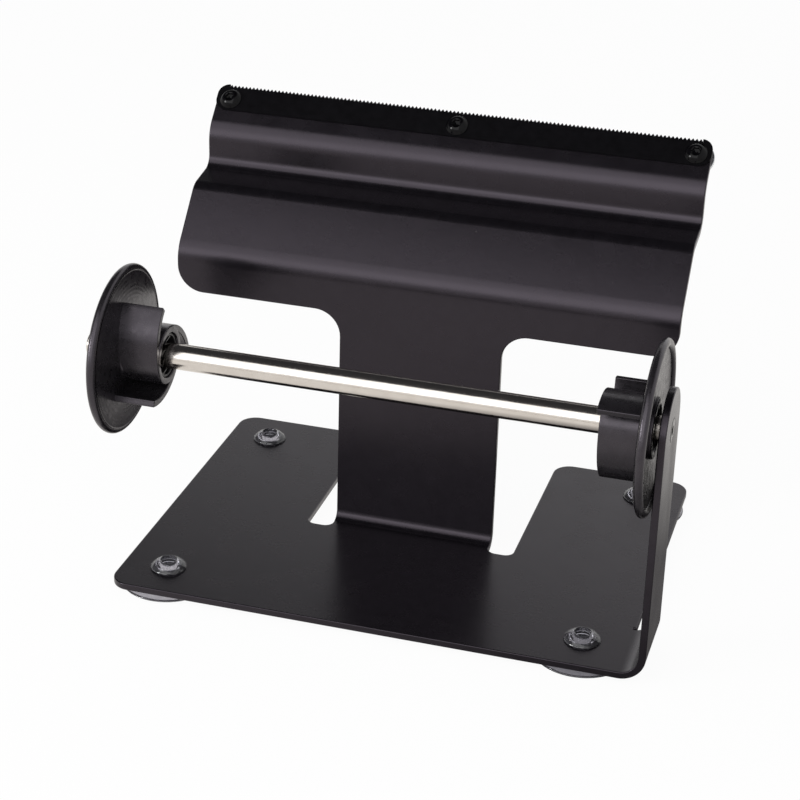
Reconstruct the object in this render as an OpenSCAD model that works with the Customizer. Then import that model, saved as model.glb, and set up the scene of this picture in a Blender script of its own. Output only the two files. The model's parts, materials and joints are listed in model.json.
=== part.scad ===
// Counter-top foil dispenser: a folded sheet-steel stand on suction cups, a roll rod with two
// spinning roll holders, and a toothed cutter blade along the top of the head panel.

/* [Stand] */
// Width of the base and of the head panel
stand_w = 130.4; // [110:0.1:180]
// Depth of the base from front edge to back edge
base_d = 100; // [85:1:140]
// Height of the head panel's top edge above the base
stand_h = 104; // [103:0.1:120]
// Thickness of the steel sheet with its coating
sheet_t = 1.8; // [1.2:0.1:2.4]
// Inside radius of the fold from the base up to the neck
fold_r = 2.5; // [1.5:0.1:4]
// Radius of the base corners
base_corner_r = 5; // [2:0.5:8]
// Width of the relief slot on each side of the neck
slot_w = 6.7; // [4:0.1:12]
// How far the slots run forward of the neck's front face
slot_reach = 5.1; // [4.8:0.1:8]

/* [Neck and head panel] */
// Width of the neck
neck_w = 42.4; // [30:0.1:60]
// Distance from the base's front edge to the neck's front face
neck_y = 50.3; // [44:0.1:60]
// Height of the head panel's lower edge above the base
head_z = 59.2; // [50:0.1:65]
// Radius of the panel's lower corners and of the fillets at the neck
head_corner_r = 6.8; // [3:0.1:8]
// Slope length of the first leaning face
lean_len = 18.5; // [14:0.1:24]
// Lean of that face from the vertical
lean_angle = 41.6; // [30:0.1:50]
// Length of the shelf behind the leaning face
shelf_len = 11.1; // [10:0.1:16]
// Rise of the shelf from the horizontal
shelf_angle = 9; // [4:0.5:15]
// Height of the riser behind the shelf
riser_len = 9.3; // [8:0.1:14]
// Lean of the top face, which carries the blade, from the vertical
crest_angle = 45; // [35:0.5:50]
// Front radius of the fold into the leaning face
lean_r = 8.4; // [4:0.1:10]
// Front radius of the fold onto the shelf
shelf_r = 5.2; // [3:0.1:7]
// Front radius of the fold up to the riser
riser_r = 3.2; // [2:0.1:4]
// Front radius of the fold into the top face
crest_r = 7.9; // [4:0.1:9]

/* [Arm and rod] */
// Width of the arm
arm_w = 20; // [14:0.5:26]
// Inside radius of the arm's fold
arm_fold_r = 4.6; // [3.5:0.1:6]
// How far that fold starts inside the base's side edge
fold_sink = 0.8; // [0.5:0.1:1.5]
// Width of the relief cut behind that fold
relief_w = 0.8; // [0.5:0.1:1.5]
// Height of the rod's axis above the base
rod_z = 59.9; // [45:0.1:70]
// Diameter of the rod
rod_d = 6.3; // [5:0.1:8]
// Length of rod that stands out past the left holder
rod_overhang = 7.6; // [4:0.1:15]
// Chamfer on the rod's free end
rod_chamfer = 0.6; // [0.2:0.1:1.2]

/* [Roll holders] */
// Width of the foil roll that fits between the discs
foil_w = 127; // [100:1:165]
// Side play of the roll between the discs
foil_play = 0.7; // [0.4:0.1:3]
// Gap between the right disc and the arm
arm_gap = 1.1; // [0.6:0.1:3]
// Diameter of the discs
disc_d = 41.6; // [38:0.1:60]
// Thickness of a disc's web
web_t = 1.4; // [1:0.1:2]
// How far a disc domes towards the roll, from rim to centre
dish = 1.2; // [1:0.1:3]
// Thickness of a disc's rounded rim
rim_t = 2.2; // [2.1:0.1:4]
// Length of the hub from the inner side of the disc's rim
hub_len = 10.7; // [8:0.1:16]
// How far the hub's outer end lies inside the rim's outer side
hub_inset = 0.6; // [0.4:0.1:1]
// Wall of the hub's ring
ring_wall = 1.7; // [1.2:0.1:2.4]
// Number of curved vanes on a hub
vane_count = 3; // [2:1:5]
// Thickness of a vane
vane_t = 1.6; // [1:0.1:2.2]
// Radius from the axis to a vane's tip
vane_tip_r = 13.9; // [12.5:0.1:17]
// Wall of the grip bush's sleeve
bush_wall = 0.7; // [0.5:0.1:1.4]
// Height of the bush's ribs between sleeve and rod
rib_h = 1.6; // [0.8:0.1:2]
// Number of ribs in a bush
rib_count = 6; // [3:1:8]
// Thickness of a rib
rib_t = 0.8; // [0.5:0.1:1.2]
// How far a bush lies inside each end of its hub
bush_sink = 0.4; // [0.4:0.1:2]

/* [Cutter blade] */
// Height of the blade from its lower edge to its tooth tips
blade_h = 7.3; // [6.6:0.1:9]
// Thickness of the blade
blade_t = 0.5; // [0.4:0.1:1.2]
// Distance from the blade's lower edge up to the line of its screws
blade_low = 3.1; // [3:0.1:3.6]
// Slope distance from the top fold's corner to the line of screws
crest_len = 9.3; // [8.5:0.1:12]
// Distance of the end screws from the panel's side edges
screw_inset = 3.9; // [3.3:0.1:8]
// Width of the plain ear at each end of the teeth
ear_w = 2.8; // [1:0.1:6]
// Radius of the blade's corners
blade_corner_r = 2.9; // [1:0.1:3]
// Pitch of the teeth
tooth_pitch = 1; // [0.5:0.05:2]
// Depth of the teeth
tooth_depth = 0.75; // [0.4:0.05:1]

/* [Fasteners] */
// Thread diameter of the screws
screw_d = 3; // [2.5:0.1:3.2]
// Diameter of a button head
button_d = 5.7; // [5:0.1:6]
// Height of a button head
button_h = 1.7; // [1.3:0.1:2.2]
// Width across the flats of the key sockets
socket_af = 2; // [1.5:0.1:2.2]
// Width across the flats of the nuts
nut_af = 5.5; // [5:0.1:6]
// Height of the nuts
nut_h = 2.4; // [1.8:0.1:3]
// Diameter of the washers
washer_d = 9; // [5.4:0.1:9.5]
// Thickness of the washers
washer_t = 0.8; // [0.3:0.1:1.2]
// Head diameter of the countersunk rod screw
rod_screw_d = 5.6; // [5:0.1:6]
// Length of the rod screw's thread inside the rod
rod_thread = 8; // [5:0.5:15]

/* [Suction cups] */
// Diameter of a cup's skirt
cup_d = 24; // [18:0.5:30]
// Height of the base above the counter, with the cups pressed down
cup_h = 1.7; // [1.4:0.1:5]
// Distance of the cup centres from the base's edges
cup_inset = 11.7; // [9:0.1:16]
// Diameter of a cup's button above the base
cup_button_d = 9.2; // [7:0.1:11]
// Height of that button's dome above the base
cup_button_h = 2.5; // [1.8:0.1:3]
// Diameter of the dimple in that button
dimple_d = 4; // [3:0.1:5]
// Diameter of a cup's neck in the base
cup_neck_d = 5; // [4:0.1:6]

/* [Hidden] */
$fn = 96;

// Clearances, and the overlap of a cut past the face that it leaves
run_fit = 0.05;
hole_fit = 0.1;
past = 1;

// Colours of the finishes
coat_black = [0.16, 0.15, 0.17];
blade_black = [0.07, 0.07, 0.08];
moulded_black = [0.13, 0.13, 0.14];
nickel = [0.80, 0.77, 0.72];
zinc = [0.75, 0.76, 0.78];
clear_vinyl = [0.86, 0.88, 0.92, 0.5];

// Sheet frame: X from the neck's centre, Y from the base's front edge, Z from the base's top face
side_x = stand_w / 2;
bend_x = side_x - fold_sink;
arm_in_x = bend_x + arm_fold_r;
arm_out_x = arm_in_x + sheet_t;
rod_y = arm_w / 2;
rod_r = rod_d / 2;

// Largest turn between two points of a fold
fold_step = 3;

// Relief slots
slot_y = neck_y - slot_reach;
slot_out_x = neck_w / 2 + slot_w;
slot_margin = 0.3;
slot_r = min(slot_w / 2, slot_reach - fold_r - slot_margin);

// Corners of the stand's upper or front face, from the base up over the head, as [Y, Z]
lean_dir = [sin(lean_angle), cos(lean_angle)];
shelf_dir = [cos(shelf_angle), sin(shelf_angle)];
crest_dir = [sin(crest_angle), cos(crest_angle)];
edge_drop = 0.3;
tip_up = blade_h - blade_low;
panel_up = tip_up - tooth_depth - edge_drop;
lean_face = lean_len * lean_dir;
shelf_face = shelf_len * shelf_dir;
riser_face = [0, riser_len];
crest_face = (crest_len + panel_up) * crest_dir;
lean_z = stand_h - (lean_face + shelf_face + riser_face + crest_face)[1];
lean_corner = [neck_y, lean_z];
shelf_corner = lean_corner + lean_face;
riser_corner = shelf_corner + shelf_face;
crest_corner = riser_corner + riser_face;
panel_top = crest_corner + crest_face;
screw_line = panel_top - panel_up * crest_dir;
head_path = [[slot_y, 0], [neck_y, 0], lean_corner, shelf_corner, riser_corner, crest_corner, panel_top];
head_radii = [0, fold_r, lean_r, shelf_r, riser_r, crest_r, 0];

// The same for the arm, as [X, Z]
arm_path = [[bend_x - sheet_t, 0], [arm_in_x, 0], [arm_in_x, rod_z]];
arm_radii = [0, arm_fold_r, 0];

// Blade and its fasteners, along the slope of the top face
ear_rise = 0.1;
thread_r = screw_d / 2;
hole_r = thread_r + hole_fit;
screw_x = side_x - screw_inset;
nut_back = sheet_t + washer_t;
thread_past = 0.6;
thread_end = nut_back + nut_h + thread_past;
teeth_w = stand_w - 2 * ear_w;
tooth_count = floor(teeth_w / tooth_pitch);
tooth_step = teeth_w / tooth_count;
socket_depth = 0.6 * button_h;
hex_ratio = 1 / cos(30);

// Countersunk rod screw
sink_h = rod_screw_d / 2 - thread_r;

// Roll holders: X of the inner side of each rim
disc_r = disc_d / 2;
rim_r = rim_t / 2;
right_face_x = arm_in_x - arm_gap - rim_t;
left_face_x = right_face_x - foil_w - foil_play;
rod_left_x = left_face_x - rim_t - rod_overhang;
left_turn = 102;
right_turn = 155;

// A disc's web is a shallow dome, which starts just below the top of the rim
dome_base_r = disc_r - rim_r;
dome_r = (pow(dome_base_r, 2) + pow(dish, 2)) / (2 * dish);
rim_step = 0.1;
dome_top = dish - rim_step;
dome_under = dome_top - web_t;

// Hub bore, the bush in it, the snap bead that keeps the bush there, and the ribs' start in the bush
hub_start = hub_inset - rim_t;
bush_r = rod_r + rib_h + bush_wall;
bore_r = bush_r + run_fit;
ring_r = bore_r + ring_wall;
bead_h = 0.4;
bead_len = 1.4;
bush_start = hub_start + bush_sink;
bush_len = hub_len - hub_start - 2 * bush_sink;
bead_x = bush_start + bush_len / 2;
rib_sink = 0.3;

// A vane's outer face is an arc, tangent to the ring at its root, that reaches the tip radius
tip_angle = 80;
vane_off = (pow(vane_tip_r, 2) - pow(ring_r, 2)) / (2 * (vane_tip_r * cos(tip_angle) + ring_r));
vane_r = ring_r + vane_off;
vane_end = atan2(vane_tip_r * sin(tip_angle), vane_tip_r * cos(tip_angle) - vane_off);

// Suction cups, with a shoulder under the base and a thin lip on the counter
cup_x = side_x - cup_inset;
cup_back_y = base_d - cup_inset;
cup_r = cup_d / 2;
cup_neck_r = cup_neck_d / 2;
cup_button_r = cup_button_d / 2;
cup_edge_t = 0.3;
cup_rise = cup_button_h - cup_edge_t;
cup_crown_r = (pow(cup_button_r, 2) + pow(cup_rise, 2)) / (2 * cup_rise);
cup_steps = 6;
cup_shoulder_w = 2;
cup_shoulder_r = cup_neck_r + cup_shoulder_w;
cup_lip_t = 0.5;
cup_lip_w = 1;
cup_hollow = 0.8;
dimple_wall = 0.4;
dimple_r = min(dimple_d / 2, cup_neck_r - dimple_wall);
dimple_z = -sheet_t / 2;
ground_z = -sheet_t - cup_h;

// The origin lies on the counter, under the middle of the whole object
box_left = min(rod_left_x, -side_x, -cup_x - cup_r);
box_right = max(arm_out_x, cup_x + cup_r);
box_front = min(0, rod_y - disc_r, cup_inset - cup_r);
screw_end_y = screw_line[0] + thread_end * crest_dir[1] + thread_r * crest_dir[0];
box_back = max(base_d, cup_back_y + cup_r, screw_end_y);
middle = [(box_left + box_right) / 2, (box_front + box_back) / 2, ground_z];

// Directions and trims along a folded path
function polar(r, angle) = r * [cos(angle), sin(angle)];
function heading(a, b) = atan2(b[1] - a[1], b[0] - a[0]);
function turn(path, i) = heading(path[i], path[i + 1]) - heading(path[i - 1], path[i]);

// Points of one face around fold i, set back from the path's face by the given depth
function fold_points(path, radii, i, depth) =
    let (
        angle = turn(path, i),
        side = sign(angle),
        entry = heading(path[i - 1], path[i]),
        trim = radii[i] * tan(abs(angle) / 2),
        centre = path[i] - polar(trim, entry) + polar(radii[i], entry + side * 90),
        steps = ceil(abs(angle) / fold_step)
    )
    [for (k = [0 : steps]) centre + polar(radii[i] + side * depth, entry - side * 90 + angle * k / steps)];

// One whole face of a folded sheet, set back from the path's face by the given depth
function face_points(path, radii, depth) =
    let (last = len(path) - 1)
    concat(
        [path[0] + polar(depth, heading(path[0], path[1]) - 90)],
        [for (i = [1 : last - 1]) each fold_points(path, radii, i, depth)],
        [path[last] + polar(depth, heading(path[last - 1], path[last]) - 90)]
    );

// Side view of a folded sheet whose face follows the path, with the metal on the path's right
module folded_sheet(path, radii) {
    back = face_points(path, radii, sheet_t);
    polygon(concat(face_points(path, radii, 0), [for (i = [len(back) - 1 : -1 : 0]) back[i]]));
}

// Part of a ring between two angles that lie less than a half turn apart
module ring_sector(inner, outer, from, to) {
    reach = 2 * outer;
    intersection() {
        difference() {
            circle(outer);
            circle(inner);
        }
        polygon([[0, 0], polar(reach, from), polar(reach, (from + to) / 2), polar(reach, to)]);
    }
}

// Rectangle from the origin with its four corners rounded
module rounded_square(size, r) {
    translate([r, 0]) square([size[0] - 2 * r, size[1]]);
    translate([0, r]) square([size[0], size[1] - 2 * r]);
    for (x = [r, size[0] - r], y = [r, size[1] - r]) translate([x, y]) circle(r);
}

// Corner waste outside a quarter round, with the corner at the origin and the metal towards +X +Y
module corner_waste(r) {
    difference() {
        translate([-past, -past]) square(r + past);
        translate([r, r]) circle(r);
    }
}

// Moves from the sheet's frame to the object's frame
module placed() {
    translate(-middle) children();
}

// Frame on the top face: X along the blade, Y up the slope, Z out of the face, origin at a screw
module on_crest(x) {
    translate([x, screw_line[0], screw_line[1]]) rotate([90 - crest_angle, 0, 0]) children();
}

// Frame on the rod's axis, with the 2D drawing's X and Y along the object's Y and Z
module on_rod(x) {
    translate([x, rod_y, rod_z]) rotate([90, 0, 90]) children();
}

module base_plate() {
    cut_x = slot_out_x;
    translate([0, 0, -sheet_t])
    linear_extrude(sheet_t)
    difference() {
        translate([-side_x, 0]) square([stand_w, base_d]);
        translate([-side_x, 0]) corner_waste(base_corner_r);
        for (x = [-side_x, cut_x]) translate([x, base_d]) mirror([0, 1]) corner_waste(base_corner_r);
        for (x = [side_x, -cut_x]) translate([x, base_d]) rotate(180) corner_waste(base_corner_r);
        translate([-neck_w / 2, slot_y]) square([neck_w, base_d]);
        for (x = [-cut_x, neck_w / 2]) translate([x, slot_y]) {
            rounded_square([slot_w, base_d], slot_r);
        }
        translate([bend_x, -past]) square([fold_sink + past, arm_w + relief_w + past]);
        for (x = [-cup_x, cup_x], y = [cup_inset, cup_back_y]) {
            translate([x, y]) circle(cup_neck_r + hole_fit);
        }
    }
}

// Front view of the neck and the head panel, as [X, Z]
module head_outline() {
    top = panel_top[1] + past;
    difference() {
        union() {
            translate([-neck_w / 2, -sheet_t - past]) square([neck_w, top + sheet_t + past]);
            translate([-side_x, head_z]) square([stand_w, top - head_z]);
            for (side = [0, 1]) mirror([side, 0]) translate([neck_w / 2, head_z]) {
                difference() {
                    translate([0, -head_corner_r]) square([head_corner_r, head_corner_r]);
                    translate([head_corner_r, -head_corner_r]) circle(head_corner_r);
                }
            }
        }
        for (side = [0, 1]) mirror([side, 0]) translate([-side_x, head_z]) corner_waste(head_corner_r);
    }
}

module head_panel() {
    back_y = panel_top[0] + 2 * sheet_t;
    difference() {
        intersection() {
            translate([-side_x, 0, 0])
                rotate([90, 0, 90])
                linear_extrude(stand_w)
                folded_sheet(head_path, head_radii);
            translate([0, back_y, 0]) rotate([90, 0, 0]) linear_extrude(back_y) head_outline();
        }
        for (x = [-screw_x, 0, screw_x]) on_crest(x) {
            translate([0, 0, -sheet_t - past]) cylinder(h = sheet_t + 2 * past, r = hole_r);
        }
        for (side = [0, 1]) mirror([side, 0, 0]) on_crest(-side_x) {
            translate([0, panel_up, -sheet_t - past])
                linear_extrude(sheet_t + 2 * past)
                mirror([0, 1])
                corner_waste(blade_corner_r);
        }
    }
}

module arm() {
    difference() {
        union() {
            translate([0, arm_w, 0])
                rotate([90, 0, 0])
                linear_extrude(arm_w)
                folded_sheet(arm_path, arm_radii);
            on_rod(arm_in_x) cylinder(h = sheet_t, r = arm_w / 2);
        }
        on_rod(arm_in_x - past) cylinder(h = sheet_t + 2 * past, r = hole_r);
        on_rod(arm_out_x - sink_h) {
            cylinder(h = sink_h + hole_fit, r1 = hole_r, r2 = rod_screw_d / 2 + 2 * hole_fit);
        }
    }
}

module stand() {
    color(coat_black)
    placed() {
        base_plate();
        head_panel();
        arm();
    }
}

module cutter_blade() {
    root = tip_up - tooth_depth;
    points = [for (i = [0 : 2 * tooth_count])
        [i * tooth_step / 2 - teeth_w / 2, i % 2 == 0 ? root : tip_up - ear_rise]];
    above = tip_up + past;
    color(blade_black)
    placed()
    on_crest(0)
    difference() {
        linear_extrude(blade_t)
        difference() {
            translate([-side_x, -blade_low]) rounded_square([stand_w, blade_h], blade_corner_r);
            polygon(concat([[-teeth_w / 2, above]], points, [[teeth_w / 2, above]]));
        }
        for (x = [-screw_x, 0, screw_x]) {
            translate([x, 0, -past]) cylinder(h = blade_t + 2 * past, r = hole_r);
        }
    }
}

// Low domed head of the given radius and height, standing on the XY plane
module button_head(r, h) {
    crown_r = (r * r + h * h) / (2 * h);
    rotate_extrude()
    intersection() {
        translate([0, h - crown_r]) circle(crown_r);
        square([r, h]);
    }
}

module blade_screw(x) {
    color(blade_black)
    placed()
    on_crest(x)
    difference() {
        union() {
            translate([0, 0, blade_t]) button_head(button_d / 2, button_h);
            translate([0, 0, -thread_end]) cylinder(h = thread_end + blade_t, r = thread_r);
        }
        translate([0, 0, blade_t + button_h - socket_depth]) {
            cylinder(h = socket_depth + past, d = socket_af * hex_ratio, $fn = 6);
        }
    }
}

module blade_washer(x) {
    color(zinc)
    placed()
    on_crest(x)
    translate([0, 0, -nut_back])
    difference() {
        cylinder(h = washer_t, d = washer_d);
        translate([0, 0, -past]) cylinder(h = washer_t + 2 * past, r = hole_r);
    }
}

module blade_nut(x) {
    color(zinc)
    placed()
    on_crest(x)
    translate([0, 0, -nut_back - nut_h])
    difference() {
        intersection() {
            rotate(30) cylinder(h = nut_h, d = nut_af * hex_ratio, $fn = 6);
            mirror([0, 0, 1]) translate([0, 0, -nut_h]) nut_chamfer();
        }
        translate([0, 0, -past]) cylinder(h = nut_h + 2 * past, r = thread_r + run_fit);
    }
}

// Cone that takes the corners off the free face of a nut
module nut_chamfer() {
    corner_r = nut_af * hex_ratio / 2;
    fall = corner_r - nut_af / 2;
    cylinder(h = nut_h - fall, r = corner_r + fall);
    translate([0, 0, nut_h - fall]) cylinder(h = fall, r1 = corner_r, r2 = nut_af / 2);
}

module roll_rod() {
    length = arm_in_x - rod_left_x;
    color(nickel)
    placed()
    on_rod(rod_left_x)
    difference() {
        union() {
            cylinder(h = rod_chamfer, r1 = rod_r - rod_chamfer, r2 = rod_r);
            translate([0, 0, rod_chamfer]) cylinder(h = length - rod_chamfer, r = rod_r);
        }
        translate([0, 0, length - rod_thread - past]) {
            cylinder(h = rod_thread + 2 * past, r = thread_r + run_fit);
        }
    }
}

module rod_screw() {
    color(blade_black)
    placed()
    on_rod(arm_in_x - rod_thread)
    difference() {
        union() {
            cylinder(h = rod_thread + sheet_t - sink_h, r = thread_r);
            translate([0, 0, rod_thread + sheet_t - sink_h]) {
                cylinder(h = sink_h, r1 = thread_r, r2 = rod_screw_d / 2);
            }
        }
        translate([0, 0, rod_thread + sheet_t - socket_depth]) {
            cylinder(h = socket_depth + past, d = socket_af * hex_ratio, $fn = 6);
        }
    }
}

// Ribbed sleeve that grips the rod and on which a holder spins, along +Z from the rim's inner side
module grip_bush() {
    color(moulded_black)
    translate([0, 0, bush_start])
    difference() {
        union() {
            difference() {
                union() {
                    cylinder(h = bush_len, r = bush_r);
                    translate([0, 0, (bush_len - bead_len) / 2 + run_fit]) {
                        cylinder(h = bead_len - 2 * run_fit, r = bush_r + bead_h);
                    }
                }
                translate([0, 0, -past]) cylinder(h = bush_len + 2 * past, r = bush_r - bush_wall);
            }
            for (i = [0 : rib_count - 1]) rotate(i * 360 / rib_count) {
                translate([rod_r, -rib_t / 2, rib_sink]) {
                    cube([rib_h + bush_wall / 2, rib_t, bush_len - 2 * rib_sink]);
                }
            }
        }
        translate([0, 0, -past]) cylinder(h = bush_len + 2 * past, r = rod_r + run_fit);
    }
}

// Flat drawing of the hub: a ring with curved vanes, whose first tip lies at the given angle
module hub_outline(first_tip) {
    circle(ring_r);
    for (i = [0 : vane_count - 1]) rotate(first_tip - tip_angle + i * 360 / vane_count) {
        translate([vane_off, 0]) ring_sector(vane_r - vane_t, vane_r, vane_end, 180);
    }
}

// Half of a dome's section inside the rim, from the given lower side up to its top
module dome_half(top, low) {
    intersection() {
        translate([0, top - dome_r]) circle(dome_r);
        translate([0, low]) square([dome_base_r, top - low]);
    }
}

// Domed disc with a rounded rim and a vaned hub, along +Z from the rim's inner side
module roll_holder(first_tip) {
    color(moulded_black)
    difference() {
        union() {
            difference() {
                union() {
                    rotate_extrude() {
                        dome_half(dome_top, -rim_r);
                        translate([dome_base_r, -rim_r]) circle(rim_r);
                    }
                    translate([0, 0, -rim_r]) linear_extrude(hub_len + rim_r) hub_outline(first_tip);
                }
                rotate_extrude() dome_half(dome_under, -rim_t - past);
            }
            translate([0, 0, hub_start]) cylinder(h = dome_under + web_t / 2 - hub_start, r = ring_r);
        }
        translate([0, 0, -rim_t]) cylinder(h = hub_len + rim_t + past, r = bore_r);
        translate([0, 0, bead_x - bead_len / 2]) cylinder(h = bead_len, r = bore_r + bead_h);
    }
}

// The left pieces face +X, and the same pieces face the other way on the right
module left_side() {
    placed() on_rod(left_face_x) children();
}

module right_side() {
    placed() translate([right_face_x, rod_y, rod_z]) rotate([90, 0, -90]) children();
}

module suction_cup(x, y) {
    crown = [for (k = [0 : cup_steps])
        let (r = dimple_r + (cup_button_r - dimple_r) * k / cup_steps)
        [r, cup_button_h - cup_crown_r + sqrt(pow(cup_crown_r, 2) - r * r)]];
    button = concat([[0, dimple_z], [dimple_r, dimple_z]], crown);
    neck = [[cup_button_r, 0], [cup_neck_r, 0], [cup_neck_r, -sheet_t], [cup_shoulder_r, -sheet_t]];
    skirt = [
        [cup_r, ground_z + cup_lip_t],
        [cup_r, ground_z],
        [cup_r - cup_lip_w, ground_z],
        [0, ground_z + cup_hollow]
    ];
    color(clear_vinyl)
    placed()
    translate([x, y, 0])
    rotate_extrude()
    polygon(concat(button, neck, skirt));
}

stand();
cutter_blade();
blade_screw(-screw_x);  // blade_screw_left
blade_screw(0);  // blade_screw_middle
blade_screw(screw_x);  // blade_screw_right
blade_washer(-screw_x);  // blade_washer_left
blade_washer(0);  // blade_washer_middle
blade_washer(screw_x);  // blade_washer_right
blade_nut(-screw_x);  // blade_nut_left
blade_nut(0);  // blade_nut_middle
blade_nut(screw_x);  // blade_nut_right
roll_rod();
rod_screw();
left_side() grip_bush();  // left_grip_bush
right_side() grip_bush();  // right_grip_bush
left_side() roll_holder(left_turn);  // left_roll_holder
right_side() roll_holder(right_turn);  // right_roll_holder
suction_cup(-cup_x, cup_inset);  // suction_cup_front_left
suction_cup(cup_x, cup_inset);  // suction_cup_front_right
suction_cup(-cup_x, cup_back_y);  // suction_cup_rear_left
suction_cup(cup_x, cup_back_y);  // suction_cup_rear_right
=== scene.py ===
"""Foil dispenser: detailed pieces, finishes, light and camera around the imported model."""

import json
import math

import bmesh
import bpy
from mathutils import Matrix, Vector

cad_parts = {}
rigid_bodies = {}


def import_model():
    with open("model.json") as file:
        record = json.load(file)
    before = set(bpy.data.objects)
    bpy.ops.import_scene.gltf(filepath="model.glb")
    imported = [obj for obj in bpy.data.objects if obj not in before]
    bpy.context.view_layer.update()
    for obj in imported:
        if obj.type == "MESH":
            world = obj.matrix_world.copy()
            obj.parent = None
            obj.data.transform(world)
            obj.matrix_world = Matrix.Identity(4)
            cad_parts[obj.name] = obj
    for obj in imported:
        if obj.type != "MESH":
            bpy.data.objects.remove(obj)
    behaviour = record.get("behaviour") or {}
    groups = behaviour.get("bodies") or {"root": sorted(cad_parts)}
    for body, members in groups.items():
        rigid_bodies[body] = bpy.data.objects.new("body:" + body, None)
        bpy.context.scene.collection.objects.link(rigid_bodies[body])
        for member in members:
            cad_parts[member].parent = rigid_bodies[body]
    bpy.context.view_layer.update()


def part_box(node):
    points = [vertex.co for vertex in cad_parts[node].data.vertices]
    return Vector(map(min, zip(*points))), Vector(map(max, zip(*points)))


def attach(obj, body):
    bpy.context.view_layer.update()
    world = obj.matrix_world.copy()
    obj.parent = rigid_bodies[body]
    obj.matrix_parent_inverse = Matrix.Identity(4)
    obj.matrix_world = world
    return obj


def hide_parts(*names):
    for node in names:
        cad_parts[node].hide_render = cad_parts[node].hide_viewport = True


for leftover in list(bpy.data.objects):
    bpy.data.objects.remove(leftover)
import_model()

# Lengths below are in millimetres
MM = 0.001
ROUND = 96
DISC_ROUND = 144
SHARP_ANGLE = math.radians(32)
BEVEL_ANGLE = math.radians(40)
RUN_FIT = 0.05

# Sheet metal
SHEET_T = 1.8
SHEET_EDGE_R = 0.3
CREST_ANGLE = math.radians(45)
WELD_GAP = 0.001
FLAT_ANGLE = math.radians(0.5)

# Threads and key sockets
THREAD_R = 1.5
THREAD_ROOT_R = 1.22
THREAD_PITCH = 0.5
SOCKET_AF = 2.0
SOCKET_CORNER_R = SOCKET_AF / 2 / math.cos(math.pi / 6)
SOCKET_DEPTH = 1.02
SOCKET_POINT_AF = 0.4
SOCKET_POINT_DROP = 0.1
SOCKET_FLOOR_RISE = 0.15
SOCKET_CHAMFER = 0.16
MOUTH_MARGIN = 0.06
MOUTH_DROP = 0.02

# Blade screws, washers and nuts
BLADE_T = 0.5
BUTTON_R = 2.85
BUTTON_H = 1.7
BUTTON_RIM = 0.3
BUTTON_EDGE_R = 0.15
DOME_INSET = 0.12
DOME_STEPS = 11
SOCKET_LAND = 0.15
THREAD_PAST = 0.6
SCREW_TIP_R = 1.05
SCREW_TIP_LEN = 0.1
WASHER_R = 4.5
WASHER_T = 0.8
WASHER_HOLE_R = 1.6
WASHER_EDGE = 0.12
NUT_AF = 5.5
NUT_H = 2.4
NUT_CORNER_ANGLE = math.radians(30)
NUT_CORNER_FALL = 0.08
NUT_FACE_INSET = 0.12
NUT_MOUTH = 0.25

# Rod and its screw
ROD_R = 3.15
ROD_CHAMFER = 0.6
ROD_ARM_EDGE = 0.1
ROD_CENTRE_R = 0.7
ROD_CENTRE_FLOOR_R = 0.25
ROD_CENTRE_DEPTH = 0.12
ROD_HOLE_PAST = 1
ROD_SCREW_R = 2.8
ROD_SCREW_THREAD = 8.0
ROD_SCREW_RIM = ((0.12, 0.0), (0.02, 0.05), (0.05, 0.16))
ROD_SCREW_TIP_R = 0.95
ROD_SCREW_TIP_LEN = 0.3

# Roll holders
DISC_R = 20.8
RIM_R = 1.1
DISH = 1.2
RIM_STEP = 0.1
WEB_T = 1.4
WEB_STEPS = 12
WEB_BACK_R = 18.61
WEB_FACE_R = 19.40
HUB_LEN = 10.7
HUB_INSET = 0.6
HUB_FOOT_R = 7.9
HUB_FILLET_R = 0.7
HUB_EDGE_R = 0.3
HUB_CORNER = 0.2
HOLDER_EDGE_R = 0.22
BORE_R = 5.5
RING_R = 7.2
VANE_T = 1.6
VANE_TIP_R = 13.9
VANE_TIP_ANGLE = math.radians(80)
VANE_COUNT = 3
VANE_STEPS = 24
VANE_ROOT = 0.3
VANE_END_INSET = 0.04
LEFT_TURN = math.radians(102)
RIGHT_TURN = math.radians(155)

# Bushes
BUSH_R = 5.45
BUSH_WALL = 0.7
BUSH_SINK = 0.4
BUSH_INNER_EDGE = 0.1
BUSH_OUTER_EDGE = 0.2
BEAD_H = 0.4
BEAD_LEN = 1.4
RIB_COUNT = 6
RIB_T = 0.7
RIB_SINK = 0.2
RIB_INSET = 0.3
RIB_STEPS = 8
RIB_SWEEP = math.radians(42)

# Suction cups, with outlines as points of radius and height
CUP_R = 12.0
CUP_LIP_R = 0.25
CUP_BUTTON_R = 4.6
CUP_BUTTON_H = 2.5
CUP_BUTTON_INSET = 0.08
CUP_CROWN_STEPS = 12
CUP_DIMPLE_R = 2.0
CUP_DIMPLE_LIP = 0.15
CUP_DIMPLE_DROP = 0.12
CUP_DIMPLE_FLOOR = ((0.15, 0.0), (1.4, 0.0), (1.75, 0.15), (1.95, 0.5))
CUP_EDGE_T = 0.3
CUP_NECK_R = 2.5
CUP_SHOULDER = 2.0
CUP_UNDERSIDE = 1.7
CUP_SKIRT = ((7.2, 1.35), (9.6, 0.86), (11.3, 0.60))
CUP_HOLLOW = ((11.0, 0.0), (8.5, 0.22), (5.0, 0.5), (2.0, 0.7), (0.15, 0.8))

# Studio, with lengths in metres
FLOOR_HALF = 4.0
FLOOR_DROP = 0.0001
# Middle of a painted shadow on the floor, right of the base, that only reflections show
PAINTED_SHADOW_MIDDLE = (0.080, -0.015, 0)
# Line of a painted dark band across the floor, in front of the object, that only reflections show
PAINTED_BAND_LINE = (0, -0.47, 0)
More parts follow.
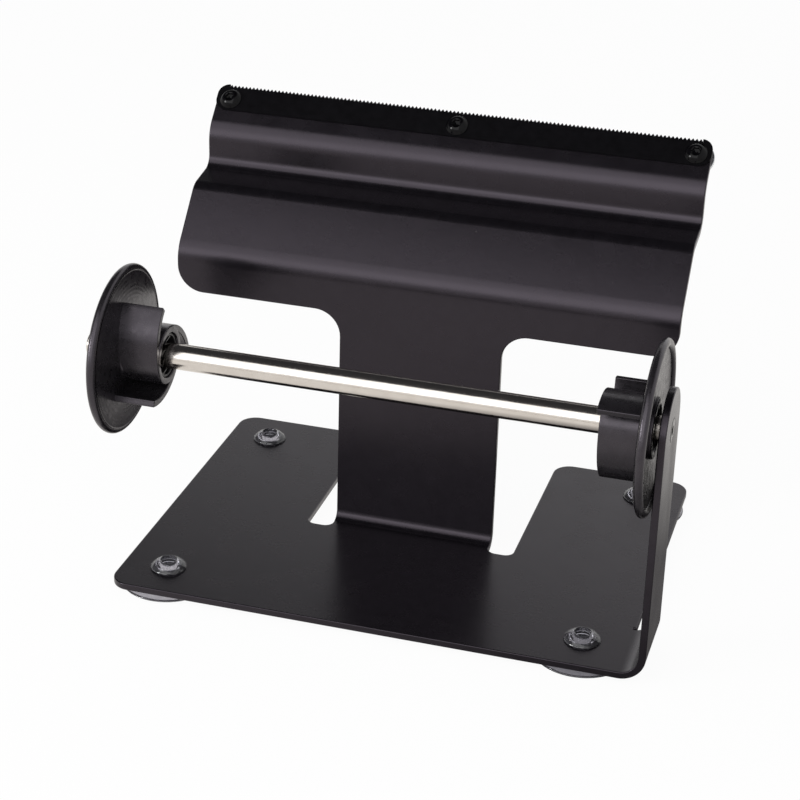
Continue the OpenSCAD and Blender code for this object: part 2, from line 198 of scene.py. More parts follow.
# Shares of the floor's own light for camera, glossy and transmission rays: first its painted colour for
# reflections, with a painted shadow and a painted dark band, then plain white
PAINTED_REFLECTION_SHARE = (0.0, 0.9, 0.0)
WHITE_SHARE = (0.95, 0.0, 0.30)
SKY_LEAN = (-0.43, 0.0, 1.0)
FILL_STRENGTH = 0.45
SENSOR_WIDTH = 36.0
LENS = 94.564
CAMERA_PLACE = (0.12611, -0.46235, 0.27405)
CAMERA_RIGHT = (0.95943, 0.28065, 0.02704)
CAMERA_UP = (-0.14504, 0.40900, 0.90094)


def centre_of(node):
    """Middle of a node's box, in millimetres"""
    low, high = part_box(node)
    return (Vector(low) + Vector(high)) / (2 * MM)


def placing(origin, x_axis, y_axis):
    """Matrix from a piece's own frame in millimetres to the object's frame in metres"""
    x_dir = Vector(x_axis)
    y_dir = Vector(y_axis)
    turn = Matrix((x_dir, y_dir, x_dir.cross(y_dir))).transposed().to_4x4()
    return Matrix.Scale(MM, 4) @ Matrix.Translation(Vector(origin)) @ turn


def ring(radius, height, count=ROUND):
    """Points of a level circle"""
    steps = [2 * math.pi * k / count for k in range(count)]
    return [Vector((radius * math.cos(a), radius * math.sin(a), height)) for a in steps]


def hexagon_radius(across_flats, angle):
    """Distance from the middle of a hexagon to its edge at an angle"""
    return across_flats / 2 / math.cos(angle % (math.pi / 3) - math.pi / 6)


def hexagon(across_flats, height, count=ROUND):
    """Points of a level hexagon, as many as a circle has"""
    points = []
    for k in range(count):
        angle = 2 * math.pi * k / count
        radius = hexagon_radius(across_flats, angle)
        points.append(Vector((radius * math.cos(angle), radius * math.sin(angle), height)))
    return points


def arc(centre, radius, start, stop, steps=8):
    """Points of a section's arc as (radius from the axis, height)"""
    angles = [math.radians(start + (stop - start) * k / steps) for k in range(steps + 1)]
    return [(centre[0] + radius * math.cos(a), centre[1] + radius * math.sin(a)) for a in angles]


def cap_radius(edge_r, rise):
    """Radius of a sphere that rises this much inside a circle"""
    return (edge_r ** 2 + rise ** 2) / (2 * rise)


def cap_height(radius, top, sphere_r):
    """Height of a spherical cap at a radius, for a cap that tops out at the given height"""
    return top - sphere_r + math.sqrt(sphere_r ** 2 - radius ** 2)


def cap_section(top, sphere_r, start, stop, steps):
    """Section points of a spherical cap between two radii"""
    radii = [start + (stop - start) * k / steps for k in range(steps + 1)]
    return [(radius, cap_height(radius, top, sphere_r)) for radius in radii]


def loft(mesh, loops, closed=False):
    """Skin over loops that have the same number of points, with flat ends unless it closes on itself"""
    rows = [[mesh.verts.new(point) for point in loop] for loop in loops]
    pairs = list(zip(rows, rows[1:]))
    if closed:
        pairs.append((rows[-1], rows[0]))
    for low, high in pairs:
        for k in range(len(low)):
            mesh.faces.new((low[k - 1], low[k], high[k], high[k - 1]))
    if not closed:
        mesh.faces.new(rows[0])
        mesh.faces.new(rows[-1])


def lathe(mesh, section, closed=False, count=ROUND):
    """Turned solid from a section of (radius, height) points"""
    loft(mesh, [ring(radius, height, count) for radius, height in section], closed)


def finish_piece(name, mesh, place, node, body, finish):
    """Turns built geometry into a piece that stands for a node and rides on its body"""
    bmesh.ops.transform(mesh, matrix=place, verts=mesh.verts)
    bmesh.ops.recalc_face_normals(mesh, faces=mesh.faces)
    data = bpy.data.meshes.new(name)
    mesh.to_mesh(data)
    mesh.free()
    data.polygons.foreach_set("use_smooth", [True] * len(data.polygons))
    data.set_sharp_from_angle(angle=SHARP_ANGLE)
    piece = bpy.data.objects.new(name, data)
    bpy.context.scene.collection.objects.link(piece)
    data.materials.append(finish)
    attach(piece, body)
    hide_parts(node)
    return piece


def soften_edges(piece, radius, segments=3):
    """Rounds the sharp edges of a piece"""
    bevel = piece.modifiers.new("rounded_edges", "BEVEL")
    bevel.width = radius * MM
    bevel.segments = segments
    bevel.limit_method = "ANGLE"
    bevel.angle_limit = BEVEL_ANGLE
    bevel.use_clamp_overlap = False
    bevel.loop_slide = False
    bevel.harden_normals = True


# Finishes


def start_finish(name):
    """New material with its node tree and its Principled shader"""
    material = bpy.data.materials.new(name)
    material.use_nodes = True
    tree = material.node_tree
    return material, tree, tree.nodes["Principled BSDF"]


def set_inputs(shader, **values):
    """Sets shader sockets by name, with underscores for the spaces"""
    for key, value in values.items():
        shader.inputs[key.replace("_", " ")].default_value = value


def noise(tree, size, detail=3.0, stretch=(1, 1, 1)):
    """Noise with features of a size in millimetres, longer where the stretch is above 1"""
    coords = tree.nodes.new("ShaderNodeTexCoord")
    mapping = tree.nodes.new("ShaderNodeMapping")
    texture = tree.nodes.new("ShaderNodeTexNoise")
    mapping.inputs["Scale"].default_value = [1 / (size * MM * s) for s in stretch]
    texture.inputs["Scale"].default_value = 1.0
    texture.inputs["Detail"].default_value = detail
    tree.links.new(coords.outputs["Object"], mapping.inputs["Vector"])
    tree.links.new(mapping.outputs["Vector"], texture.inputs["Vector"])
    return texture.outputs["Fac"]


def specks(tree, spacing, size):
    """Scattered round specks: 1 in a speck and 0 elsewhere, sizes in millimetres"""
    coords = tree.nodes.new("ShaderNodeTexCoord")
    cells = tree.nodes.new("ShaderNodeTexVoronoi")
    cells.inputs["Scale"].default_value = 1 / (spacing * MM)
    tree.links.new(coords.outputs["Object"], cells.inputs["Vector"])
    return spread(tree, cells.outputs["Distance"], 1.0, 0.0, size / spacing * 0.5, size / spacing)


def spread(tree, source, low, high, start=0.3, stop=0.7):
    """Maps a texture onto a range of values"""
    mapped = tree.nodes.new("ShaderNodeMapRange")
    mapped.inputs["From Min"].default_value = start
    mapped.inputs["From Max"].default_value = stop
    mapped.inputs["To Min"].default_value = low
    mapped.inputs["To Max"].default_value = high
    tree.links.new(source, mapped.inputs["Value"])
    return mapped.outputs["Result"]


def tones(tree, source, low, high, start=0.3, stop=0.7):
    """Maps a texture onto the range between two colours"""
    ramp = tree.nodes.new("ShaderNodeValToRGB")
    ramp.color_ramp.elements[0].position = start
    ramp.color_ramp.elements[0].color = (*low, 1)
    ramp.color_ramp.elements[1].position = stop
    ramp.color_ramp.elements[1].color = (*high, 1)
    tree.links.new(source, ramp.inputs["Fac"])
    return ramp.outputs["Color"]


def laid_over(tree, mask, below, colour):
    """A plain colour where the mask is 1, over another colour"""
    mix = tree.nodes.new("ShaderNodeMix")
    mix.data_type = "RGBA"
    mix.inputs["B"].default_value = (*colour, 1)
    tree.links.new(mask, mix.inputs["Factor"])
    tree.links.new(below, mix.inputs["A"])
    return mix.outputs["Result"]


def rings(tree, pitch):
    """Fine rings round the rod's axis, at a pitch in millimetres"""
    low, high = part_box("roll_rod")
    coords = tree.nodes.new("ShaderNodeTexCoord")
    mapping = tree.nodes.new("ShaderNodeMapping")
    wave = tree.nodes.new("ShaderNodeTexWave")
    wave.wave_type = "RINGS"
    wave.rings_direction = "X"
    mapping.inputs["Location"].default_value = (0, -(low[1] + high[1]) / 2, -(low[2] + high[2]) / 2)
    wave.inputs["Scale"].default_value = math.pi / 10 / (pitch * MM)
    wave.inputs["Distortion"].default_value = 0.6
    tree.links.new(coords.outputs["Object"], mapping.inputs["Vector"])
    tree.links.new(mapping.outputs["Vector"], wave.inputs["Vector"])
    return wave.outputs["Fac"]


def set_surface(tree, shader, colour, roughness):
    """Gives the shader its colour and roughness textures"""
    tree.links.new(colour, shader.inputs["Base Color"])
    tree.links.new(roughness, shader.inputs["Roughness"])


def relief(tree, shader, layers):
    """Stacks bumps, each a texture and its depth in millimetres, onto the shader"""
    normal = None
    for source, depth in layers:
        bump = tree.nodes.new("ShaderNodeBump")
        bump.inputs["Strength"].default_value = 1.0
        bump.inputs["Distance"].default_value = depth * MM
        tree.links.new(source, bump.inputs["Height"])
        if normal:
            tree.links.new(normal, bump.inputs["Normal"])
        normal = bump.outputs["Normal"]
    tree.links.new(normal, shader.inputs["Normal"])


def coat_finish():
    """Satin black powder coat with orange peel and a few dust specks"""
    material, tree, shader = start_finish("satin_black_coat")
    set_inputs(shader, IOR=1.46, Specular_Tint=(0.97, 0.85, 1.0, 1))
    colour = tones(tree, noise(tree, 3.0), (0.0030, 0.0026, 0.0034), (0.0048, 0.0042, 0.0054))
    dusty = laid_over(tree, specks(tree, 5.5, 0.11), colour, (0.12, 0.115, 0.11))
    set_surface(tree, shader, dusty, spread(tree, noise(tree, 7.0), 0.24, 0.29))
    relief(tree, shader, [(noise(tree, 0.9, 2.0), 0.010), (noise(tree, 0.22, 1.0), 0.004)])
    return material


def blade_finish():
    """Black oxide on a ground strip, with faint lines along its length"""
    material, tree, shader = start_finish("black_oxide_blade")
    set_inputs(shader, IOR=1.2, Specular_IOR_Level=0.3)
    colour = tones(tree, noise(tree, 2.0), (0.0016, 0.0014, 0.0020), (0.0030, 0.0027, 0.0036))
    lines = noise(tree, 0.25, 2.0, (24, 1, 1))
    set_surface(tree, shader, colour, spread(tree, lines, 0.38, 0.5))
    relief(tree, shader, [(lines, 0.003)])
    return material


def screw_finish():
    """Black oxide on turned and rolled steel"""
    material, tree, shader = start_finish("black_oxide_screw")
    set_inputs(shader, IOR=1.22)
    colour = tones(tree, noise(tree, 1.2), (0.0016, 0.0015, 0.0020), (0.0032, 0.0030, 0.0038))
    set_surface(tree, shader, colour, spread(tree, noise(tree, 0.8), 0.08, 0.15))
    relief(tree, shader, [(noise(tree, 0.3, 2.0), 0.001)])
    return material


def zinc_finish():
    """Bright zinc plate with a faint mottle"""
    material, tree, shader = start_finish("zinc_plate")
    set_inputs(shader, Metallic=1.0)
    colour = tones(tree, noise(tree, 1.5), (0.60, 0.61, 0.63), (0.74, 0.75, 0.76))
    set_surface(tree, shader, colour, spread(tree, noise(tree, 0.7), 0.22, 0.36))
    relief(tree, shader, [(noise(tree, 0.25, 2.0), 0.004)])
    return material


def nickel_finish():
    """Warm nickel plate, polished along the rod"""
    material, tree, shader = start_finish("nickel_plate")
    set_inputs(shader, Metallic=1.0)
    grain = noise(tree, 0.12, 2.0, (16, 1, 1))
    colour = tones(tree, noise(tree, 4.0), (0.61, 0.57, 0.53), (0.67, 0.63, 0.59))
    set_surface(tree, shader, colour, spread(tree, grain, 0.13, 0.23))
    relief(tree, shader, [(grain, 0.0015)])
    return material


def moulded_finish():
    """Moulded black plastic: fine spark texture, cloudy gloss and faint turned rings"""
    material, tree, shader = start_finish("moulded_black")
    set_inputs(shader, IOR=1.55, Specular_Tint=(0.97, 0.88, 1.0, 1))
    colour = tones(tree, noise(tree, 2.5), (0.0075, 0.0068, 0.0080), (0.0125, 0.0115, 0.0132))
    set_surface(tree, shader, colour, spread(tree, noise(tree, 1.6), 0.22, 0.36))
    spark = [(noise(tree, 1.1, 2.0), 0.003), (noise(tree, 0.2, 1.0), 0.0015)]
    relief(tree, shader, spark + [(rings(tree, 1.0), 0.007)])
    return material


def bush_finish():
    """Softer, duller black plastic"""
    material, tree, shader = start_finish("soft_black")
    set_inputs(shader, IOR=1.48)
    colour = tones(tree, noise(tree, 1.5), (0.013, 0.012, 0.014), (0.021, 0.020, 0.022))
    set_surface(tree, shader, colour, spread(tree, noise(tree, 1.0), 0.32, 0.46))
    relief(tree, shader, [(noise(tree, 0.2, 1.0), 0.004)])
    return material


def vinyl_finish():
    """Clear soft vinyl with a slight haze"""
    material, tree, shader = start_finish("clear_vinyl")
    set_inputs(shader, IOR=1.5, Transmission_Weight=0.92)
    colour = tones(tree, noise(tree, 3.0), (0.42, 0.41, 0.46), (0.53, 0.52, 0.57))
    set_surface(tree, shader, colour, spread(tree, noise(tree, 1.5), 0.04, 0.10))
    relief(tree, shader, [(noise(tree, 1.2, 1.0), 0.012)])
    return material


COAT = coat_finish()
BLADE = blade_finish()
SCREW = screw_finish()
ZINC = zinc_finish()
NICKEL = nickel_finish()
MOULDED = moulded_finish()
BUSH = bush_finish()
VINYL = vinyl_finish()


# Stand and blade


def build_stand():
    """The folded sheet, with its edges rounded as the coating leaves them"""
    mesh = bmesh.new()
    mesh.from_mesh(bpy.data.objects["stand"].data)
    bmesh.ops.remove_doubles(mesh, verts=mesh.verts, dist=WELD_GAP * MM)
    bmesh.ops.dissolve_limit(mesh, angle_limit=FLAT_ANGLE, verts=mesh.verts, edges=mesh.edges)
    piece = finish_piece("stand_sheet", mesh, Matrix.Identity(4), "stand", "stand", COAT)
    soften_edges(piece, SHEET_EDGE_R)


def keep_blade():
    """The blade's own solid is right: it only gets its finish"""
    blade = bpy.data.objects["cutter_blade"]
    blade.material_slots[0].material = BLADE


# Fasteners


def thread_section(start, stop):
    """Rings of a thread between two heights, from the first to the second"""
    count = round(abs(stop - start) / THREAD_PITCH)
    step = (stop - start) / count
    section = []
    for k in range(count):
        section.append((THREAD_ROOT_R, start + k * step))
        section.append((THREAD_R, start + (k + 0.5) * step))
    return section


def socket_loops(top):
    """Hexagonal key socket from its floor up to a chamfered mouth"""
    floor = top - SOCKET_DEPTH
    return [
        hexagon(SOCKET_POINT_AF, floor - SOCKET_POINT_DROP),
        hexagon(SOCKET_AF, floor + SOCKET_FLOOR_RISE),
        hexagon(SOCKET_AF, top - SOCKET_CHAMFER),
        ring(SOCKET_CORNER_R + MOUTH_MARGIN, top - MOUTH_DROP),
    ]


def crest_place(side):
    """Frame at one blade screw: Y up the slope, Z out of the panel, origin on the panel's face"""
    up = Vector((0, math.sin(CREST_ANGLE), math.cos(CREST_ANGLE)))
    out = Vector((1, 0, 0)).cross(up)
    origin = centre_of("blade_washer_" + side) + (SHEET_T + WASHER_T / 2) * out
    return placing(origin, (1, 0, 0), up)


def button_dome():
    """Section of a button head's dome, from the socket's edge out to the head's"""
    edge_r = BUTTON_R - DOME_INSET
    rise = BUTTON_H - BUTTON_RIM
    shoulder = SOCKET_CORNER_R + SOCKET_LAND
    return cap_section(BLADE_T + BUTTON_H, cap_radius(edge_r, rise), shoulder, edge_r, DOME_STEPS)


def build_blade_screw(side, place):
    """Button-head screw with its key socket and rolled thread"""
    dome = button_dome()
    crown = dome[0][1]
    tip = -SHEET_T - WASHER_T - NUT_H - THREAD_PAST
    thread_end = tip + SCREW_TIP_LEN
    shank = arc((BUTTON_R - BUTTON_EDGE_R, BLADE_T + BUTTON_EDGE_R), BUTTON_EDGE_R, 45, -90, 6)
    shank += [(THREAD_R, BLADE_T), (THREAD_R, -SHEET_T)]
    shank += thread_section(-SHEET_T, thread_end)
    shank += [(THREAD_ROOT_R, thread_end), (SCREW_TIP_R, tip)]
    mesh = bmesh.new()
    loft(mesh, socket_loops(crown) + [ring(radius, height) for radius, height in dome + shank])
    node = "blade_screw_" + side
    finish_piece("button_screw_" + side, mesh, place, node, "stand", SCREW)


def build_blade_washer(side, place):
    """Plain washer with rolled edges"""
    low = -SHEET_T - WASHER_T
    high = -SHEET_T
    edge = WASHER_EDGE
    roll_in = 0.03
    roll_up = 0.04
    section = [
        (WASHER_HOLE_R, low + edge), (WASHER_HOLE_R + edge, low), (WASHER_R - edge, low),
        (WASHER_R - roll_in, low + roll_up), (WASHER_R, low + edge), (WASHER_R, high - edge),
        (WASHER_R - edge, high), (WASHER_HOLE_R + edge, high), (WASHER_HOLE_R, high - edge),
    ]
    mesh = bmesh.new()
    lathe(mesh, section, closed=True)
    finish_piece("plain_washer_" + side, mesh, place, "blade_washer_" + side, "stand", ZINC)


def build_blade_nut(side, place):
    """Hexagon nut with the corners turned off its free face"""
    near = -SHEET_T - WASHER_T
    far = near - NUT_H
    slope = math.tan(NUT_CORNER_ANGLE)
    bore = THREAD_R + RUN_FIT
    flank = hexagon(NUT_AF, near)
    scallop = []
    for point in flank:
        fall = (point.xy.length - NUT_AF / 2) * slope + NUT_CORNER_FALL
        scallop.append(Vector((point.x, point.y, far + fall)))
    mesh = bmesh.new()
    loops = [
        ring(bore, near), flank, scallop, ring(NUT_AF / 2 - NUT_FACE_INSET, far),
        ring(bore + NUT_MOUTH, far), ring(bore, far + NUT_MOUTH),
    ]
    loft(mesh, loops, closed=True)
    finish_piece("hexagon_nut_" + side, mesh, place, "blade_nut_" + side, "stand", ZINC)


def build_rod_screw(place):
    """Countersunk screw through the arm into the rod, with its head level with the arm's face"""
    top = SHEET_T
    cone = ROD_SCREW_R - THREAD_R
    thread_end = ROD_SCREW_TIP_LEN - ROD_SCREW_THREAD
    section = [(ROD_SCREW_R - inset, top - drop) for inset, drop in ROD_SCREW_RIM]
    section += [(THREAD_R, top - cone), (THREAD_R, 0.0)]
    section += thread_section(0.0, thread_end)
    section += [(THREAD_ROOT_R, thread_end), (ROD_SCREW_TIP_R, -ROD_SCREW_THREAD)]
    mesh = bmesh.new()
    loft(mesh, socket_loops(top) + [ring(radius, height) for radius, height in section])
    finish_piece("countersunk_screw", mesh, place, "rod_screw", "stand", SCREW)


# Rod, bushes and roll holders


def build_rod(axis):
    """Plated rod with a rounded free end and the screw's hole in the other"""
    low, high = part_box("roll_rod")
    start = low[0] / MM
    stop = high[0] / MM
    bore = THREAD_R + RUN_FIT
    hole = stop - ROD_SCREW_THREAD - ROD_HOLE_PAST
    edge = ROD_ARM_EDGE
    section = [(ROD_CENTRE_FLOOR_R, start + ROD_CENTRE_DEPTH), (ROD_CENTRE_R, start)]
    section.append((ROD_R - ROD_CHAMFER, start))
    section += arc((ROD_R - ROD_CHAMFER, start + ROD_CHAMFER), ROD_CHAMFER, -90, 0, 6)[1:]
    section += [(ROD_R, stop - edge), (ROD_R - edge, stop), (bore, stop), (bore, hole)]
    mesh = bmesh.new()
    lathe(mesh, section)
    place = placing((0, axis.y, axis.z), (0, 1, 0), (0, 0, 1))
    finish_piece("plated_rod", mesh, place, "roll_rod", "stand", NICKEL)


def groove_section(middle):
    """Square groove in the hub's bore for the bush's bead, from its upper side down"""
    high = middle + BEAD_LEN / 2
    low = middle - BEAD_LEN / 2
    floor = BORE_R + BEAD_H
    return [(BORE_R, high), (floor, high), (floor, low), (BORE_R, low)]


def disc_section():
    """Half section of the domed disc, its rounded rim and the hub's ring"""
    over = DISH - RIM_STEP
    under = over - WEB_T
    dome_r = cap_radius(DISC_R - RIM_R, DISH)
    foot = cap_height(HUB_FOOT_R, over, dome_r) + HUB_FILLET_R
    hub_start = HUB_INSET - 2 * RIM_R
    hub_edge = HUB_LEN - HUB_EDGE_R
    section = [(BORE_R + HUB_CORNER, hub_start), (RING_R - HUB_CORNER, hub_start)]
    section.append((RING_R, hub_start + HUB_CORNER))
    section += cap_section(under, dome_r, RING_R, WEB_BACK_R, WEB_STEPS)
    section += arc((DISC_R - RIM_R, -RIM_R), RIM_R, -170, 105, 20)
    section += cap_section(over, dome_r, WEB_FACE_R, HUB_FOOT_R, WEB_STEPS)
    section += arc((RING_R + HUB_FILLET_R, foot), HUB_FILLET_R, -95, -180, 5)
    section += arc((RING_R - HUB_EDGE_R, hub_edge), HUB_EDGE_R, 0, 90, 4)
    section += arc((BORE_R + HUB_EDGE_R, hub_edge), HUB_EDGE_R, 90, 180, 4)
    section += groove_section((hub_start + HUB_LEN) / 2)
    section.append((BORE_R, hub_start + HUB_CORNER))
    return section


def add_vane(mesh, turn):
    """One curved vane: an arc that leaves the ring at a tangent and ends at the tip radius"""
    tip_x = VANE_TIP_R * math.cos(VANE_TIP_ANGLE)
    tip_y = VANE_TIP_R * math.sin(VANE_TIP_ANGLE)
    offset = (VANE_TIP_R ** 2 - RING_R ** 2) / (2 * (tip_x + RING_R))
    outer = RING_R + offset
    inner = outer - VANE_T
    start = math.atan2(tip_y, tip_x - offset)
    root = VANE_ROOT
    end = HUB_LEN - VANE_END_INSET
    corners = ((inner, root), (outer, root), (outer, end), (inner, end))
    spin = Matrix.Rotation(turn, 3, "Z")
    loops = []
    for k in range(VANE_STEPS + 1):
        angle = start + (math.pi - start) * k / VANE_STEPS
        direction = Vector((math.cos(angle), math.sin(angle), 0))
        loops.append([spin @ (Vector((offset, 0, h)) + r * direction) for r, h in corners])
    loft(mesh, loops)


def build_holder(side, place, first_tip):
    """Domed disc with a rounded rim and a vaned hub"""
    mesh = bmesh.new()
    lathe(mesh, disc_section(), closed=True, count=DISC_ROUND)
    for k in range(VANE_COUNT):
        add_vane(mesh, first_tip - VANE_TIP_ANGLE + 2 * math.pi * k / VANE_COUNT)
    node = side + "_roll_holder"
    piece = finish_piece(side + "_moulded_holder", mesh, place, node, side + "_holder", MOULDED)
    soften_edges(piece, HOLDER_EDGE_R)


def add_rib(mesh, turn, low, high):
    """One thin rib that curves from the bush's sleeve in to the rod"""
    sleeve = BUSH_R - BUSH_WALL + RIB_SINK
    rod = ROD_R + RUN_FIT
    loops = []
    for k in range(RIB_STEPS + 1):
        share = k / RIB_STEPS
        radius = sleeve + (rod - sleeve) * share
        angle = turn + RIB_SWEEP * share ** 2
        half = RIB_T / 2 / radius
        edges = ((angle - half, low), (angle + half, low), (angle + half, high), (angle - half, high))
        loops.append([Vector((radius * math.cos(a), radius * math.sin(a), h)) for a, h in edges])
    loft(mesh, loops)


def build_bush(side, place):
    """Ribbed sleeve between a hub and the rod, with its snap bead"""
    low = HUB_INSET - 2 * RIM_R + BUSH_SINK
    high = HUB_LEN - BUSH_SINK
    middle = (low + high) / 2
    bead = BEAD_LEN / 2 - RUN_FIT
    inner = BUSH_R - BUSH_WALL
    fine = BUSH_INNER_EDGE
    edge = BUSH_OUTER_EDGE
    section = [
        (inner, low + fine), (inner + fine, low), (BUSH_R - edge, low), (BUSH_R, low + edge),
        (BUSH_R, middle - bead), (BUSH_R + BEAD_H, middle - bead + edge),
        (BUSH_R + BEAD_H, middle + bead - edge), (BUSH_R, middle + bead),
        (BUSH_R, high - edge), (BUSH_R - edge, high), (inner + fine, high), (inner, high - fine),
    ]
    mesh = bmesh.new()
    lathe(mesh, section, closed=True)
    for k in range(RIB_COUNT):
        add_rib(mesh, 2 * math.pi * k / RIB_COUNT, low + RIB_INSET, high - RIB_INSET)
    node = side + "_grip_bush"
    finish_piece(side + "_ribbed_bush", mesh, place, node, side + "_bush", BUSH)


# Suction cups


def cup_section():
    """Half section of a pressed suction cup, from the button's dimple down to the hollow"""
    top = CUP_UNDERSIDE + SHEET_T + CUP_BUTTON_H
    base = CUP_UNDERSIDE + SHEET_T
    dimple = base - SHEET_T / 2
    crown_r = cap_radius(CUP_BUTTON_R, CUP_BUTTON_H - CUP_EDGE_T)
    mouth = cap_height(CUP_DIMPLE_R, top, crown_r) - CUP_DIMPLE_DROP
    lip = CUP_DIMPLE_R + CUP_DIMPLE_LIP
    rim = CUP_BUTTON_R - CUP_BUTTON_INSET
    edge = CUP_EDGE_T / 2
    section = [(radius, dimple + height) for radius, height in CUP_DIMPLE_FLOOR]
    section.append((CUP_DIMPLE_R, mouth))
    section += cap_section(top, crown_r, lip, rim, CUP_CROWN_STEPS)
    section += arc((CUP_BUTTON_R - edge, base + edge), edge, 40, -90, 5)
    section += [(CUP_NECK_R, base), (CUP_NECK_R, CUP_UNDERSIDE)]
    section.append((CUP_NECK_R + CUP_SHOULDER, CUP_UNDERSIDE))
    section += CUP_SKIRT
    section += arc((CUP_R - CUP_LIP_R, CUP_LIP_R), CUP_LIP_R, 80, -90, 8)
    section += CUP_HOLLOW
    return section


def build_cup(where):
    """Clear cup: button above the base, neck through it, skirt on the counter"""
    node = "suction_cup_" + where
    middle = centre_of(node)
    mesh = bmesh.new()
    lathe(mesh, cup_section())
    place = placing((middle.x, middle.y, 0), (1, 0, 0), (0, 1, 0))
    finish_piece("clear_cup_" + where, mesh, place, node, "stand", VINYL)


# The pieces in their places

build_stand()
keep_blade()
for side in ("left", "middle", "right"):
    screw_place = crest_place(side)
    build_blade_screw(side, screw_place)
    build_blade_washer(side, screw_place)
    build_blade_nut(side, screw_place)

rod_axis = centre_of("roll_rod")
arm_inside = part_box("roll_rod")[1][0] / MM
build_rod(rod_axis)
build_rod_screw(placing((arm_inside, rod_axis.y, rod_axis.z), (0, 1, 0), (0, 0, 1)))

left_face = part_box("left_roll_holder")[1][0] / MM - HUB_LEN
right_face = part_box("right_roll_holder")[0][0] / MM + HUB_LEN
left_place = placing((left_face, rod_axis.y, rod_axis.z), (0, 1, 0), (0, 0, 1))
right_place = placing((right_face, rod_axis.y, rod_axis.z), (0, -1, 0), (0, 0, 1))
holders = (("left", left_place, LEFT_TURN), ("right", right_place, RIGHT_TURN))
for side, side_place, first_tip in holders:
    build_holder(side, side_place, first_tip)
    build_bush(side, side_place)

for where in ("front_left", "front_right", "rear_left", "rear_right"):
    build_cup(where)


# Studio


def shown_share(tree, camera, glossy, clear):
    """How white a background shows to rays from the camera, off gloss and through clear parts"""
    path = tree.nodes.new("ShaderNodeLightPath")
    highest = None
    shares = {"Is Camera Ray": camera, "Is Glossy Ray": glossy, "Is Transmission Ray": clear}
    for output, share in shares.items():
        scaled = tree.nodes.new("ShaderNodeMath")
        scaled.operation = "MULTIPLY"
        scaled.inputs[1].default_value = share
        tree.links.new(path.outputs[output], scaled.inputs[0])
        if highest:
            either = tree.nodes.new("ShaderNodeMath")
            either.operation = "MAXIMUM"
            tree.links.new(highest, either.inputs[0])
            tree.links.new(scaled.outputs[0], either.inputs[1])
            highest = either.outputs[0]
        else:
            highest = scaled.outputs[0]
    return highest


def build_world():
    """White round the horizon, dimmer overhead, and an even fill on the object"""
    world = bpy.data.worlds.new("studio")
    bpy.context.scene.world = world
    world.use_nodes = True
    tree = world.node_tree
    shown = tree.nodes["Background"]
    fill = tree.nodes.new("ShaderNodeBackground")
    fill.inputs["Color"].default_value = (1, 1, 1, 1)
    fill.inputs["Strength"].default_value = FILL_STRENGTH
    coords = tree.nodes.new("ShaderNodeTexCoord")
    height = tree.nodes.new("ShaderNodeVectorMath")
    height.operation = "DOT_PRODUCT"
    height.inputs[1].default_value = SKY_LEAN
    tree.links.new(coords.outputs["Generated"], height.inputs[0])
    sky = tones(tree, height.outputs["Value"], (1, 1, 1), (0.03, 0.03, 0.033), start=0.54, stop=0.68)
    tree.links.new(sky, shown.inputs["Color"])
    mix = tree.nodes.new("ShaderNodeMixShader")
    tree.links.new(shown_share(tree, 1.0, 1.0, 1.0), mix.inputs["Fac"])
    tree.links.new(fill.outputs["Background"], mix.inputs[1])
    tree.links.new(shown.outputs["Background"], mix.inputs[2])
    tree.links.new(mix.outputs["Shader"], tree.nodes["World Output"].inputs["Surface"])


def away_from(tree, point, axes):
    """Distance from a point, counted only along the axes that are 1"""
    coords = tree.nodes.new("ShaderNodeTexCoord")
    kept = tree.nodes.new("ShaderNodeVectorMath")
    kept.operation = "MULTIPLY"
    kept.inputs[1].default_value = axes
    distance = tree.nodes.new("ShaderNodeVectorMath")
    distance.operation = "DISTANCE"
    distance.inputs[1].default_value = point
    tree.links.new(coords.outputs["Object"], kept.inputs[0])
    tree.links.new(kept.outputs["Vector"], distance.inputs[0])
    return distance.outputs["Value"]


def painted_floor_reflection(tree):
    """Colour of the floor in reflections only: a painted shadow dims it close to the arm, and a painted
    dark band runs across it in front of the object
    """
    from_painted_shadow = away_from(tree, PAINTED_SHADOW_MIDDLE, (1, 1, 1))
    from_painted_band = away_from(tree, PAINTED_BAND_LINE, (0, 1, 0))
    # Painted shadow: the floor's reflected colour darkens close to the arm
    painted_shadow_tone = tones(tree, from_painted_shadow, (0.16, 0.15, 0.15), (1.0, 0.97, 0.93), start=0.035, stop=0.127)
    # Painted dark band across the floor along a line in front of the object, seen only in reflections
    painted_band_tone = tones(tree, from_painted_band, (0.34, 0.28, 0.24), (1, 1, 1), start=0.05, stop=0.07)
    product = tree.nodes.new("ShaderNodeMix")
    product.data_type = "RGBA"
    product.blend_type = "MULTIPLY"
    product.inputs["Factor"].default_value = 1.0
    tree.links.new(painted_shadow_tone, product.inputs["A"])
    tree.links.new(painted_band_tone, product.inputs["B"])
    return product.outputs["Result"]


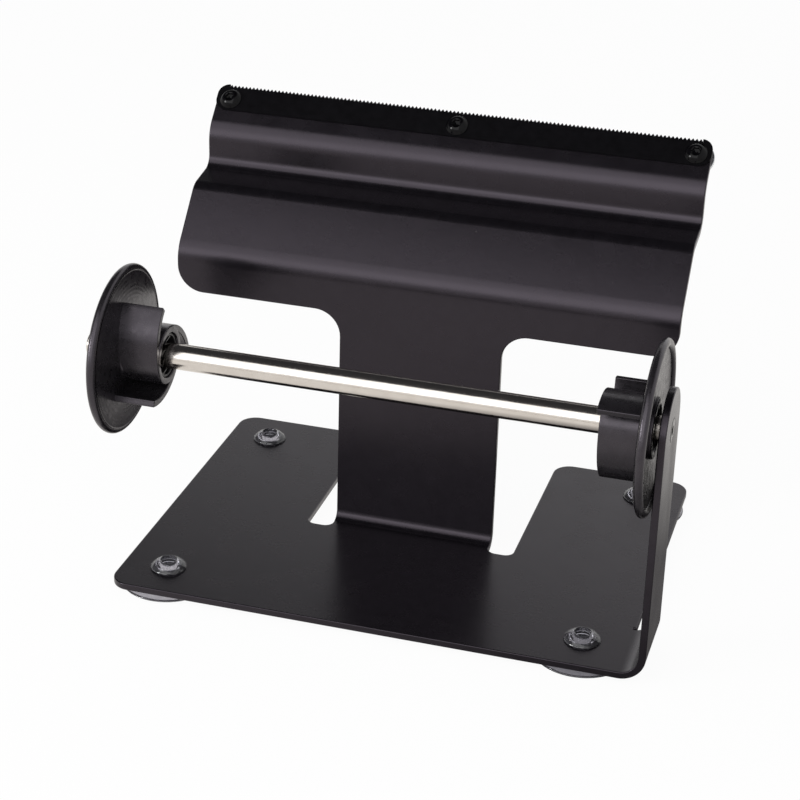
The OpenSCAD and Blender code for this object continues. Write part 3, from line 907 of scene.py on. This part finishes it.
def floor_finish():
    """Matt white that shows white to the camera and keeps the object's shadow; reflections see mostly
    its painted colour, with a painted shadow by the arm and a painted dark band
    """
    material = bpy.data.materials.new("white_floor")
    material.use_nodes = True
    tree = material.node_tree
    tree.nodes.remove(tree.nodes["Principled BSDF"])
    matt = tree.nodes.new("ShaderNodeBsdfDiffuse")
    matt.inputs["Color"].default_value = (0.95, 0.95, 0.95, 1)
    # Emission in the floor's painted colour for reflections, with its painted shadow and painted dark
    # band
    glossy = tree.nodes.new("ShaderNodeEmission")
    tree.links.new(painted_floor_reflection(tree), glossy.inputs["Color"])
    white = tree.nodes.new("ShaderNodeEmission")
    surface = matt.outputs["BSDF"]
    for share, emission in ((PAINTED_REFLECTION_SHARE, glossy), (WHITE_SHARE, white)):
        mix = tree.nodes.new("ShaderNodeMixShader")
        tree.links.new(shown_share(tree, *share), mix.inputs["Fac"])
        tree.links.new(surface, mix.inputs[1])
        tree.links.new(emission.outputs["Emission"], mix.inputs[2])
        surface = mix.outputs["Shader"]
    tree.links.new(surface, tree.nodes["Material Output"].inputs["Surface"])
    return material


def build_floor():
    """Wide white floor just under the cups"""
    half = FLOOR_HALF
    corners = ((-half, -half), (half, -half), (half, half), (-half, half))
    mesh = bmesh.new()
    mesh.faces.new([mesh.verts.new((x, y, -FLOOR_DROP)) for x, y in corners])
    data = bpy.data.meshes.new("floor")
    mesh.to_mesh(data)
    mesh.free()
    data.materials.append(floor_finish())
    floor = bpy.data.objects.new("floor", data)
    bpy.context.scene.collection.objects.link(floor)


def add_softbox(name, place, target, width, height, watts):
    """Rectangular soft light that faces a point"""
    data = bpy.data.lights.new(name, "AREA")
    data.shape = "RECTANGLE"
    data.size = width
    data.size_y = height
    data.energy = watts
    light = bpy.data.objects.new(name, data)
    light.location = place
    light.rotation_mode = "QUATERNION"
    light.rotation_quaternion = (Vector(target) - Vector(place)).to_track_quat("-Z", "Y")
    bpy.context.scene.collection.objects.link(light)


def build_camera():
    """Camera as fitted to the straight edges in the photograph"""
    data = bpy.data.cameras.new("camera")
    data.sensor_width = SENSOR_WIDTH
    data.lens = LENS
    camera = bpy.data.objects.new("camera", data)
    right = Vector(CAMERA_RIGHT)
    up = Vector(CAMERA_UP)
    turn = Matrix((right, up, right.cross(up))).transposed().to_4x4()
    camera.matrix_world = Matrix.Translation(CAMERA_PLACE) @ turn
    bpy.context.scene.collection.objects.link(camera)
    bpy.context.scene.camera = camera


build_world()
build_floor()
add_softbox("key_softbox", place=(-0.80, -0.64, 0.28), target=(0, 0, 0.05),
            width=0.26, height=0.20, watts=3.3)
add_softbox("front_softbox", place=(-0.20, -0.79, 0.62), target=(0, 0, 0.06),
            width=1.30, height=0.94, watts=7.3)
build_camera()
bpy.context.scene.view_settings.view_transform = "Standard"
